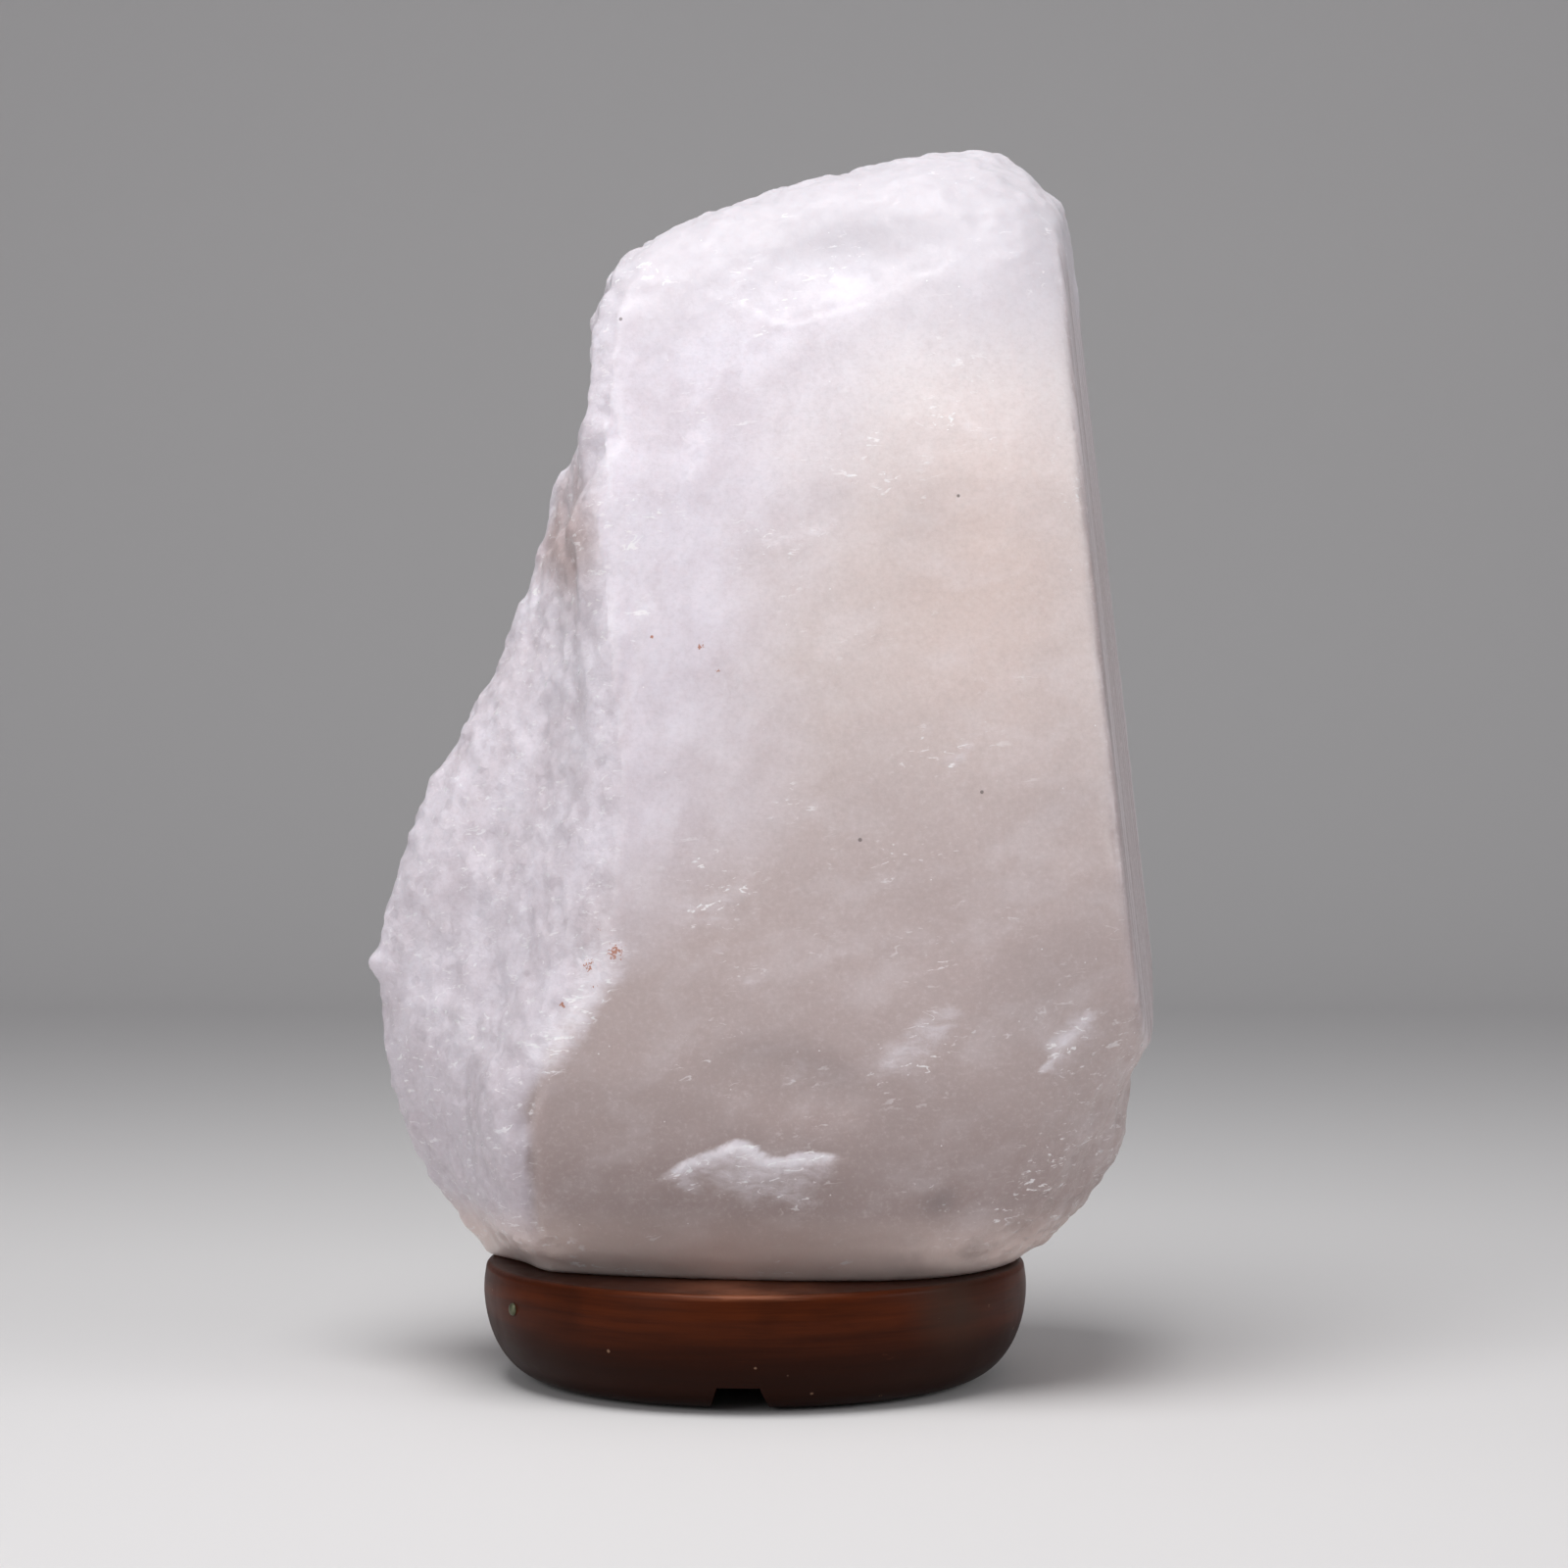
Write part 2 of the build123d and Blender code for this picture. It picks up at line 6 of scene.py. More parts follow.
import bpy
import numpy as np
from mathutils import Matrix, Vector


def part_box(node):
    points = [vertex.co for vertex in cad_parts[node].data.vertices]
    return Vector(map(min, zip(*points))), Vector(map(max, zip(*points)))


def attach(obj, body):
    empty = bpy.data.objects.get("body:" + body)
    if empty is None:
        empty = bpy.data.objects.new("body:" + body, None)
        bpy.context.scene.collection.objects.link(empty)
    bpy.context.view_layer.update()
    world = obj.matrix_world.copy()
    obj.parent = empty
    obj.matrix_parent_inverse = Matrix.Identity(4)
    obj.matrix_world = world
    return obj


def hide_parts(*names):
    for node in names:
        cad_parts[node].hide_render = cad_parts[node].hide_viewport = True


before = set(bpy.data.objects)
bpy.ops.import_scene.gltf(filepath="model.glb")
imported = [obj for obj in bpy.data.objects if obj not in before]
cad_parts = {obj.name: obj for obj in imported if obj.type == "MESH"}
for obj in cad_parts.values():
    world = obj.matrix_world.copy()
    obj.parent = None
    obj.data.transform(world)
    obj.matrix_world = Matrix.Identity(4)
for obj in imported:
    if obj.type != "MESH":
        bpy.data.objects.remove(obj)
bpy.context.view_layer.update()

MM = 0.001

# ------------------------------------------------------------------ sizes, in millimetres

CAMERA_SIDE = 6.1
CAMERA_DISTANCE = 750.0
CAMERA_HEIGHT = 125.1
CAMERA_LENS = 80.9
CAMERA_SENSOR = 36

BASE_HEIGHT = 24.5
BORE_RADIUS = 23.0
BORE_DEPTH = 110.0
SAW_REACH = 83.0
SAW_HEIGHT = 65.0  # above the foot of the crystal
SAW_SKIN = 0.9  # points less deep than this lie on the sawn face
SAW_TOP = (240, 222)  # heights at which the sawn face has ended and at which it is whole

SCREW_CIRCLE = 36.0
PLUG_RADIUS = 4.0
PLUG_DEPTH = 30.0

# The relief stays this far off the sides of the holes, their ends and the foot
HOLE_MARGIN = 1.2
END_MARGIN = 2.0
FOOT_MARGIN = 0.7
FOOT_FADE = 6.0

THREAD_PITCH = 2.82
THREAD_DEPTH = 0.35
THREAD_WALL = 0.3
THREAD_LEAD = 1.5  # height over which the thread begins at the foot of the cap
THREAD_END = 1.0  # and over which it ends at the collar
CAP_COLLAR = 4.6  # plain part at the top of the bulb's cap

CRYSTAL_VOXEL = 1.15

# ------------------------------------------------------------------ angles and counts

SAW_LEAN = 6.2  # degrees
SAW_TOE = 8.4
SCREW_ANGLES = (90, 210, 330)
GRAIN_LEAN = -0.34  # radians, of the streaks on the broken side
DEEP = (1, 0.5, 1)  # stretches a pattern so that it is twice as deep as wide

CAP_AROUND = 72
CAP_ROWS = 80

# Rounds of smoothing: over the whole block, over its rough part and where it is most worn
ALL_ROUNDS = 5
ROUGH_ROUNDS = 17
WORN_ROUNDS = 200
SAW_EDGE_ROUNDS = 4

# ------------------------------------------------------------------ drawn on the crystal

# Lines in the front view of the crystal are rows of places across and up.
# Ledges where a flake broke off, drawn from left to right: line, seed, rise, fade above, fade
# below and how frosty
BROAD_LEDGE = (
    (-20, 44.5), (-15, 49), (-9, 51), (-4.6, 53.2), (1, 51), (8, 50.2), (14, 50.8), (21, 48.5),
)
FRONT_LEDGES = (
    (BROAD_LEDGE, 41, 0.75, 5.0, 9.0, 1.0),
    (((57, 66), (60, 72), (64, 75), (69, 80)), 47, 0.5, 3.0, 5.0, 0.7),
    (((-12, 226), (-2, 224), (8, 220), (18, 221), (30, 227), (42, 233)), 53, 0.35, 8.0, 9.0, 0.0),
    (((36, 208), (43, 198), (49, 189)), 59, 0.2, 4.0, 5.0, 0.15),
    (((-16, 96), (-8, 101.5), (0, 106)), 67, 0.15, 3.0, 4.0, 0.0),
    (((21, 66), (28, 70), (37, 74), (45, 82)), 73, 0.22, 3.0, 5.0, 0.25),
)
# Creases: line, seed, depth and width
FRONT_CREASES = (
    (((-44, 70), (-47, 58), (-45.7, 46), (-44, 32)), 81, 1.2, 3.0),
    (((-33, 206), (-30, 196), (-40, 182), (-45, 172)), 83, 1.6, 4.0),
    (((-32, 190), (-29, 168), (-37, 150), (-41, 128)), 85, 0.9, 4.0),
    (((-24, 172), (-25, 150), (-31, 132), (-33, 112)), 87, 0.5, 3.0),
    (((-41, 150), (-46, 132), (-52, 118), (-60, 100)), 89, 0.8, 3.5),
    (((-56, 104), (-60, 92), (-68, 78)), 90, 0.6, 3.0),
)
# Places where the scars' rims are worn soft: across, up, radius
WORN_PLACES = ((12, 240, 46), (62, 76, 22), (-40, 188, 11))
# Frosted bands: line, seed, strength and width
FROST_BANDS = (
    (((-20, 98), (-26, 93), (-33, 83), (-40, 74), (-45, 62)), 91, 0.8, 8.0),
    (((-74, 80), (-62, 76), (-45, 66)), 93, 0.45, 10.0),
    (((-34, 152), (-24, 158), (-14, 163)), 95, 0.40, 7.0),
    (((-4, 172), (10, 176), (22, 177)), 97, 0.40, 4.0),
    (((-22, 96), (-6, 103), (6, 109)), 99, 0.40, 7.0),
    (((-12, 90), (4, 86)), 100, 0.30, 7.0),
    (((20, 66), (30, 71), (44, 82)), 101, 0.50, 7.0),
    (((4, 64), (18, 72)), 102, 0.30, 7.0),
    (((34, 127), (40, 131), (46, 137)), 103, 0.35, 5.0),
    (((30, 214), (40, 202), (52, 186)), 104, 0.30, 4.0),
    (((58, 66), (64, 75), (70, 82)), 105, 0.55, 5.0),
)
BAND_RISE = 0.15
# The proud lobe at the lower left lies to the left of this line, drawn downwards
LOBE_EDGE = ((-44, 70), (-47, 58), (-45.7, 46), (-44, 30))
LOBE_RISE = 1.1
LOBE_FADE = 26
LOBE_REACH = 50
# The tip that stands out at the far left: across, up, radius
LEFT_TIP = (-81.5, 86.5, 2.6)
TIP_RISE = 1.5
# The lilac of the broken side ends along this line, drawn upwards
PALE_EDGE = (
    (-43, 24), (-45.7, 46), (-46, 60), (-40, 74), (-33, 83), (-20, 97), (-9, 113), (-2, 130),
    (6, 160), (14, 205), (20, 250),
)

# Marks in the front view: place across and up, and radius
RUST_SPOTS = (
    (-27.6, 91.8, 2.2), (-33.1, 88.8, 1.6), (-31.8, 84.5, 0.8), (-38.6, 80.8, 1.1),
    (-30.8, 96.3, 0.7), (-20.5, 154.7, 0.6), (-10.7, 152.7, 1.0), (-7.3, 147.8, 0.7),
)
DARK_DOTS = ((21.2, 114, 0.4), (45.3, 123.5, 0.36), (41, 182.8, 0.32), (-27.4, 220.5, 0.36))
GREY_CLOUDS = ((37, 42, 6), (31, 30, 7), (45, 31, 8))
# Places where painted glints cluster: white strokes in the colour where small crystal faces would
# catch the light
PAINTED_GLINT_PATCHES = (
    (2, 174, 12), (37, 132, 9), (-8, 104, 13), (34, 91, 10), (31, 69, 13), (63, 73, 8),
    (-8, 201, 12), (39, 198, 11), (27, 110, 7), (18, 233, 8), (2, 224, 14), (-26, 178, 11),
)
# A broad warm patch on the front; on the wood a stain and a painted highlight along the front
# of the rim.  The last number of a row of four is how much narrower than tall the mark is
PEACH_PATCH = (46, 170, 60, 0.6)
WOOD_STAIN = (41, 20, 13)
WOOD_RIM_HIGHLIGHT = (-3, 24, 1.0, 26.0)

# ------------------------------------------------------------------ tones


def colour(red, green, blue):
    """A colour given as sRGB 0..255, as the shaders want it."""
    def linear(value):
        value /= 255
        return value / 12.92 if value <= 0.04045 else ((value + 0.055) / 1.055) ** 2.4
    return (linear(red), linear(green), linear(blue), 1.0)


SALT = {
    "foot": colour(165, 147, 144),
    "low": colour(198, 182, 180),
    "middle": colour(220, 207, 205),
    "upper": colour(232, 225, 228),
    "top": colour(204, 199, 205),
    "peach": colour(230, 207, 197),
    "shade": colour(176, 160, 158),
    "lilac": colour(218, 209, 218),
    "pale lilac": colour(234, 228, 238),
    "low lilac": colour(188, 177, 185),
    "brown_shade": colour(184, 162, 158),
    "veil": colour(248, 243, 249),
    "dark grain": colour(150, 134, 132),
    "pale grain": colour(250, 245, 250),
    "painted foot glow": colour(226, 206, 199),
    "frost": colour(246, 241, 248),
    "painted_glint": colour(255, 253, 255),
    "rust": colour(178, 104, 62),
    "dark dot": colour(96, 84, 82),
    "grey cloud": colour(128, 118, 118),
    "saw dark": colour(166, 153, 155),
    "saw pale": colour(206, 197, 201),
    "saw speckle": colour(236, 229, 233),
}

WOOD = {
    "ring": colour(60, 23, 6),
    "between rings": colour(82, 34, 10),
    "foot": colour(30, 8, 1),
    "blotch": colour(38, 13, 3),
    "fine line": colour(32, 11, 3),
    "stain": colour(62, 46, 38),
    "seat": colour(26, 10, 4),
    "rim": colour(150, 92, 66),
    "dust": colour(150, 118, 96),
    "scuff": colour(110, 62, 38),
}

# Plain finishes: tone, darker tone, metallic, roughness and the nodes that have them
PLAIN_FINISHES = {
    "zinc_steel": (
        colour(176, 178, 176), colour(140, 142, 142), 1.0, 0.35,
        ("base_screws", "terminal_screws", "nipple", "lock_nut", "lock_washer"),
    ),
    "brass": (
        colour(206, 168, 96), colour(150, 114, 56), 1.0, 0.32,
        ("thread_shell", "centre_contact", "terminal_blocks"),
    ),
    "spring_steel": (
        colour(170, 171, 174), colour(128, 130, 134), 1.0, 0.28,
        ("clip_plate", "clip_arm_left", "clip_arm_right"),
    ),
    "holder_plastic": (
        colour(30, 30, 31), colour(20, 20, 21), 0.0, 0.35, ("holder_cap", "holder_body"),
    ),
    "cap_metal": (colour(205, 205, 205), colour(170, 170, 170), 1.0, 0.3, ("bulb_cap",)),
    "tungsten": (
        colour(120, 120, 124), colour(80, 80, 84), 1.0, 0.4,
        ("lead_wires", "filament", "filament_supports"),
    ),
    "felt": (colour(52, 47, 43), colour(36, 33, 30), 0.0, 0.95, ("felt_ring",)),
    "plug_plastic": (colour(168, 170, 168), colour(150, 152, 150), 0.0, 0.6, ("wall_plugs",)),
    "pin_metal": (colour(104, 106, 84), colour(66, 68, 52), 0.8, 0.5, ("side_pin",)),
    "insulator": (colour(222, 216, 200), colour(204, 197, 180), 0.0, 0.4, ("holder_insert",)),
    "solder": (colour(170, 170, 166), colour(130, 130, 126), 1.0, 0.45, ("bulb_contact",)),
    "black_glass": (colour(18, 18, 20), colour(12, 12, 13), 0.0, 0.15, ("bulb_insulator",)),
}

PAPER = colour(226, 224, 224)
STUDIO_AIR = colour(235, 236, 240)

# ------------------------------------------------------------------ studio, in metres and watts

FLOOR_FRONT = -1.5
FLOOR_BACK = 1.2
FLOOR_BEND = 0.5
FLOOR_HALF_WIDTH = 6.0
BEND_STEPS = 16
BACKDROP_HEIGHT = 2.5

# Lights: name, place, size and power
LIGHTS = (
    ("overhead", (-0.08, -0.26, 0.85), 0.55, 5.2),
    ("front_left", (-0.9, -0.9, 0.6), 0.9, 4.0),
    ("right_side", (1.1, -0.4, 0.5), 0.7, 3.3),
)
LIGHTS_AIM = (0, 0, 0.13)
STUDIO_STRENGTH = 0.25


# ------------------------------------------------------------------ noise on arrays of points


def lattice_hash(cell, seed):
    """Three random numbers in 0..1 for each integer cell."""
    x, y, z = (cell[:, i].astype(np.int64) for i in range(3))
    mixed = (x * 73856093) ^ (y * 19349663) ^ (z * 83492791) ^ (seed * 2654435761)
    numbers = []
    for turn in range(3):
        mixed = (mixed ^ (mixed >> 13)) * 1274126177 & 0x7FFFFFFF
        mixed = (mixed ^ (mixed >> 16) ^ (turn * 97)) & 0x7FFFFFFF
        numbers.append(mixed / float(0x7FFFFFFF))
    return np.stack(numbers, axis=1)


def value_noise(points, seed):
    """Smooth noise in -1..1 with features about one unit across."""
    base = np.floor(points)
    t = points - base
    t = t * t * t * (t * (t * 6 - 15) + 10)
    total = np.zeros(len(points))
    for dx in (0, 1):
        for dy in (0, 1):
            for dz in (0, 1):
                weight = (
                    (t[:, 0] if dx else 1 - t[:, 0])
                    * (t[:, 1] if dy else 1 - t[:, 1])
                    * (t[:, 2] if dz else 1 - t[:, 2])
                )
                total += weight * lattice_hash(base + (dx, dy, dz), seed)[:, 0]
    return total * 2 - 1


def layered_noise(points, size, octaves, seed):
    """Value noise summed over octaves, the largest with features of the given size."""
    total = np.zeros(len(points))
    strength = 1.0
    for octave in range(octaves):
        total += strength * value_noise(points / size, seed + octave)
        size *= 0.5
        strength *= 0.5
    return total


def scoops(points, size, seed):
    """Heights of shallow bowls about one size across that meet in crisp ridges, set so low
    that the surface stays where it was on the whole."""
    scaled = points / size
    base = np.floor(scaled)
    nearest = np.full(len(points), np.inf)
    for dx in (-1, 0, 1):
        for dy in (-1, 0, 1):
            for dz in (-1, 0, 1):
                cell = base + (dx, dy, dz)
                offset = scaled - (cell + lattice_hash(cell, seed))
                nearest = np.minimum(nearest, (offset**2).sum(axis=1))
    return nearest - 0.3


def warped(points, size, amount, seed):
    """Points pushed about by smooth noise, so that patterns on them lose their regularity."""
    shift = [value_noise(points / size, seed + i) for i in range(3)]
    return points + amount * np.stack(shift, axis=1)


def ramp(values, start, end):
    """0 before the start, 1 after the end and smooth between.  The end may be the lower one."""
    t = np.clip((values - start) / (end - start), 0, 1)
    return t * t * (3 - 2 * t)


# ------------------------------------------------------------------ mesh helpers


def placed(name, data):
    """A new object in the scene for a mesh, a light or a camera."""
    made = bpy.data.objects.new(name, data)
    bpy.context.scene.collection.objects.link(made)
    return made


def copy_of_node(node, name):
    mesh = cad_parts[node].data.copy()
    mesh.name = name
    mesh.materials.clear()
    return placed(name, mesh)


def smooth_object(name, points, faces):
    """A new object from points in metres and faces, shaded smooth."""
    mesh = bpy.data.meshes.new(name)
    mesh.from_pydata(points, [], faces)
    for polygon in mesh.polygons:
        polygon.use_smooth = True
    return placed(name, mesh)


def remeshed(obj, voxel):
    """Replaces an object's mesh with an even mesh of small quads over the same shape."""
    modifier = obj.modifiers.new("voxels", "REMESH")
    modifier.mode = "VOXEL"
    modifier.voxel_size = voxel * MM
    modifier.use_smooth_shade = True
    evaluated = obj.evaluated_get(bpy.context.evaluated_depsgraph_get())
    mesh = bpy.data.meshes.new_from_object(evaluated)
    obj.modifiers.clear()
    obj.data = mesh
    return obj


def rows_of(items, name, width=3, kind=float):
    """One row of numbers for each vertex or edge of a mesh."""
    values = np.zeros(len(items) * width, kind)
    items.foreach_get(name, values)
    return values.reshape(-1, width)


def points_of(mesh):
    return rows_of(mesh.vertices, "co") / MM


def normals_of(mesh):
    return rows_of(mesh.vertices, "normal")


def edges_of(mesh):
    return rows_of(mesh.edges, "vertices", 2, np.int64)


def set_points(mesh, points):
    mesh.vertices.foreach_set("co", (points * MM).ravel())
    mesh.update()


def relaxed(points, edges, amount, rounds):
    """Points, or other rows of numbers, moved towards their neighbours' mean, by an amount from
    0 to 1 for each."""
    start, end = edges.T
    count = np.bincount(edges.ravel(), minlength=len(points))[:, None]
    for _ in range(rounds):
        total = np.zeros_like(points)
        for axis in range(points.shape[1]):
            total[:, axis] = np.bincount(start, points[end, axis], len(points))
            total[:, axis] += np.bincount(end, points[start, axis], len(points))
        points = points + (total / count - points) * amount[:, None]
    return points


def store(mesh, name, values):
    attribute = mesh.attributes.new(name, "FLOAT", "POINT")
    attribute.data.foreach_set("value", values.astype(np.float32))


# ------------------------------------------------------------------ lines on the front view


def beside(points, path, seed, wander):
    """For a line drawn on the front view: how far each point lies to its left as the line runs,
    and how far along the line it is, 0..1.  The line wanders by about the given amount."""
    wandering = [layered_noise(points, size=9, octaves=3, seed=seed + i) for i in (0, 5)]
    spot = points[:, [0, 2]] + wander * np.stack(wandering, axis=1)
    path = np.array(path, float)
    lengths = np.hypot(*np.diff(path, axis=0).T)
    total = lengths.sum()
    nearest = np.full(len(points), np.inf)
    side = np.zeros(len(points))
    along = np.zeros(len(points))
    start = 0.0
    for first, last, length in zip(path[:-1], path[1:], lengths):
        direction = (last - first) / length
        reach = (spot - first) @ direction
        t = np.clip(reach, 0, length)
        off = spot - first - np.outer(t, direction)
        distance = np.hypot(off[:, 0], off[:, 1])
        left = direction[0] * (spot - first)[:, 1] - direction[1] * (spot - first)[:, 0]
        closer = distance < nearest
        nearest = np.where(closer, distance, nearest)
        side = np.where(closer, np.where(left < 0, -distance, distance), side)
        along = np.where(closer, (start + t) / total, along)
        start += length
    return side, along


def between_ends(along, taper):
    """1 along a line, fading to 0 over a part of it at either end."""
    return ramp(along, 0, taper) * ramp(1 - along, 0, taper)


def line_mask(side, along, width, taper=0.2):
    """1 on a line, fading to 0 at the given width and towards its ends."""
    return (1 - ramp(np.abs(side), 0, width)) * between_ends(along, taper)


def ledge(points, path, seed, rise, above, below):
    """A broken ledge along a line: the face just above it is hollowed, the face below stands
    proud.  Gives the height and how frosty the fresh break is."""
    side, along = beside(points, path, seed, wander=1.5)
    uneven = 0.55 + 0.45 * value_noise(points / 6.0, seed + 9)
    hollow = -rise * np.exp(-np.clip(side, 0, None) / above)
    proud = rise * np.exp(-np.clip(-side, 0, None) / below)
    step = ramp(side, 0.6, -0.6)
    height = (hollow * (1 - step) + proud * step) * between_ends(along, 0.16) * uneven
    under = np.clip(-side, 0, None)
    frost = 0.6 * np.exp(-under / (0.3 * below)) + 0.4 * ramp(under, 1.5 * below, 0.7 * below)
    frost *= ramp(side, 1.6, 0.2) * between_ends(along, 0.2)
    return height, frost


# ------------------------------------------------------------------ crystal


def saw_normal():
    lean = radians(SAW_LEAN)
    toe = radians(SAW_TOE)
    return np.array([cos(lean) * cos(toe), -cos(lean) * sin(toe), sin(lean)])


def fitted(points):
    """Whether each point is in the bore, in a plug's hole or on the foot, which keep their size."""
    foot = BASE_HEIGHT
    from_axis = np.hypot(points[:, 0], points[:, 1])
    in_bore = from_axis < BORE_RADIUS + HOLE_MARGIN
    in_bore &= points[:, 2] < foot + BORE_DEPTH + END_MARGIN
    near_plug = np.zeros(len(points), bool)
    for angle in SCREW_ANGLES:
        centre = SCREW_CIRCLE * np.array([cos(radians(angle)), sin(radians(angle))])
        near_plug |= np.hypot(*(points[:, :2] - centre).T) < PLUG_RADIUS + HOLE_MARGIN
    near_plug &= points[:, 2] < foot + PLUG_DEPTH + END_MARGIN
    return in_bore | near_plug | (points[:, 2] < foot + FOOT_MARGIN)


def on_sawn_face(points, facing):
    """1 on the flat face that was sawn, 0 elsewhere, ragged at its upper end."""
    saw_point = np.array([SAW_REACH, 0, BASE_HEIGHT + SAW_HEIGHT])
    flat = (points - saw_point) @ saw_normal() > -SAW_SKIN
    flat &= facing @ saw_normal() > 0.6
    ragged = points[:, 2] + 0.12 * points[:, 1]
    ragged += 7 * layered_noise(points, size=14, octaves=3, seed=33)
    return flat * ramp(ragged, *SAW_TOP)


def wear(points, facing):
    """How worn each point is: soft where the left face meets the front, at the rims of the
    scars and a little at the top."""
    x, y, z = points.T
    worn = ramp(np.minimum(-facing[:, 0], -facing[:, 1]), 0.12, 0.4) * ramp(-x, 8, 18)
    for place_x, place_z, radius in WORN_PLACES:
        away = np.hypot(x - place_x, z - place_z)
        worn = np.maximum(worn, ramp(away, radius, 0.6 * radius) * (y < 5))
    return np.maximum(worn, 0.05 * ramp(z, 224, 236))


def sides_of(points, facing):
    """How much each point is on the left, on the top and on the front, and how much its side is
    broken rather than smooth, all 0..1."""
    left = ramp(-facing[:, 0], 0.18, 0.62) * ramp(-points[:, 0], 4, 24)
    top = ramp(facing[:, 2], 0.2, 0.7)
    front = ramp(-facing[:, 1], 0.25, 0.6)
    lower_right = ramp(facing[:, 0], 0.3, 0.6) * ramp(-facing[:, 2], 0.0, 0.3)
    back = ramp(facing[:, 1], 0.1, 0.5)
    under = ramp(-facing[:, 2], 0.35, 0.7)
    broken = np.clip(left + 0.8 * lower_right + back + 0.3 * under, 0, 1)
    return left, top, front, broken


def flaked(points, facing, top, broken):
    """Height of the relief: slow swells and fine grain everywhere, and on the broken sides and
    the top the scoops of the flakes that came off them."""
    loose = warped(points, size=22, amount=5.0, seed=61)
    looser = warped(points, size=9, amount=2.2, seed=71)
    small = warped(points, size=4, amount=1.0, seed=75)
    limb = ramp(np.abs(facing[:, 1]), 0.75, 0.3)
    grainy = 0.2 * broken + 0.2 * top + 0.3 * limb + 0.05
    height = layered_noise(points, size=38, octaves=2, seed=3) * (0.5 + 0.5 * broken)
    height += 0.14 * layered_noise(points * (1, 1, 0.7), size=9, octaves=3, seed=7)
    height += 1.1 * broken * scoops(loose * (1, 1, 0.8), size=17, seed=17)
    height += 0.8 * broken * scoops(looser, size=8.5, seed=23)
    height += 0.7 * (0.45 * broken + 0.3 * top) * scoops(small, size=4.4, seed=25)
    height += grainy * layered_noise(points, size=3.8, octaves=2, seed=11)
    height += 0.9 * top * scoops(loose, size=13, seed=37)
    return height


def drawn(points, front, left):
    """Height of the features drawn on the front view, and how frosty they are."""
    height = np.zeros(len(points))
    frost = np.zeros(len(points))
    for path, seed, rise, above, below, freshness in FRONT_LEDGES:
        step, fresh = ledge(points, path, seed, rise, above, below)
        height += step * front
        frost = np.maximum(frost, freshness * fresh * front)
    for path, seed, depth, width in FRONT_CREASES:
        side, along = beside(points, path, seed, wander=1.0)
        height -= depth * line_mask(side, along, width) * (front + left).clip(0, 1)
    for path, seed, strength, width in FROST_BANDS:
        side, along = beside(points, path, seed, wander=2.2)
        band = strength * line_mask(side, along, width, taper=0.3)
        height += BAND_RISE * band
        frost = np.maximum(frost, band)
    return height + lobe(points) + tip(points), frost


def lobe(points):
    """Height of the lobe at the lower left, with a crisp edge that fades towards the left."""
    side, along = beside(points, LOBE_EDGE, 77, wander=0.8)
    proud = ramp(side, 0.8, -1.0) * np.exp(-np.clip(-side, 0, None) / LOBE_FADE)
    proud *= ramp(along, 0.0, 0.2) * (side > -LOBE_REACH)
    proud *= ramp(points[:, 2], BASE_HEIGHT, BASE_HEIGHT + 12) * ramp(points[:, 2], 105, 60)
    return LOBE_RISE * proud


def tip(points):
    """Height of the small tip at the far left."""
    place_x, place_z, radius = LEFT_TIP
    away = (points[:, 0] - place_x) ** 2 + (points[:, 2] - place_z) ** 2
    return TIP_RISE * np.exp(-away / radius**2)


def saw_marks(points):
    """Height of the upright marks that the saw left: short across the face, long up it."""
    across = points[:, 1] + 0.05 * points[:, 2]
    lines = np.stack([across, 0 * across, points[:, 2] / 60], axis=1)
    return 0.14 * layered_noise(lines, size=3.0, octaves=1, seed=31)


def brown_shade_patch(points, smooth):
    """1 on the brownish patch high on the broken side, painted shade with a brownish tint on a
    facet turned away from the light, for points with and without the relief.
    """
    x, y, z = smooth.T
    height = z + 0.5 * (x + 36) + 10 * layered_noise(points, size=20, octaves=3, seed=107)
    return ramp(-x, 29, 36) * ramp(height, 154, 180) * ramp(height, 206, 180) * ramp(y, 6, -4)


def pale_side(points, smooth):
    """1 on the pale broken side and at the top, for points with and without the relief.  The
    edge is crisp near the foot and loosens higher up."""
    z = smooth[:, 2]
    loosely = ramp(z, 76, 104)
    side, _ = beside(points, PALE_EDGE, 103, wander=1.0)
    side += 6 * loosely * layered_noise(points, size=26, octaves=3, seed=103)
    pale = ramp(side / (1.5 + 18 * loosely), -1, 1)
    return np.clip(pale + ramp(z, 205, 240), 0, 1)


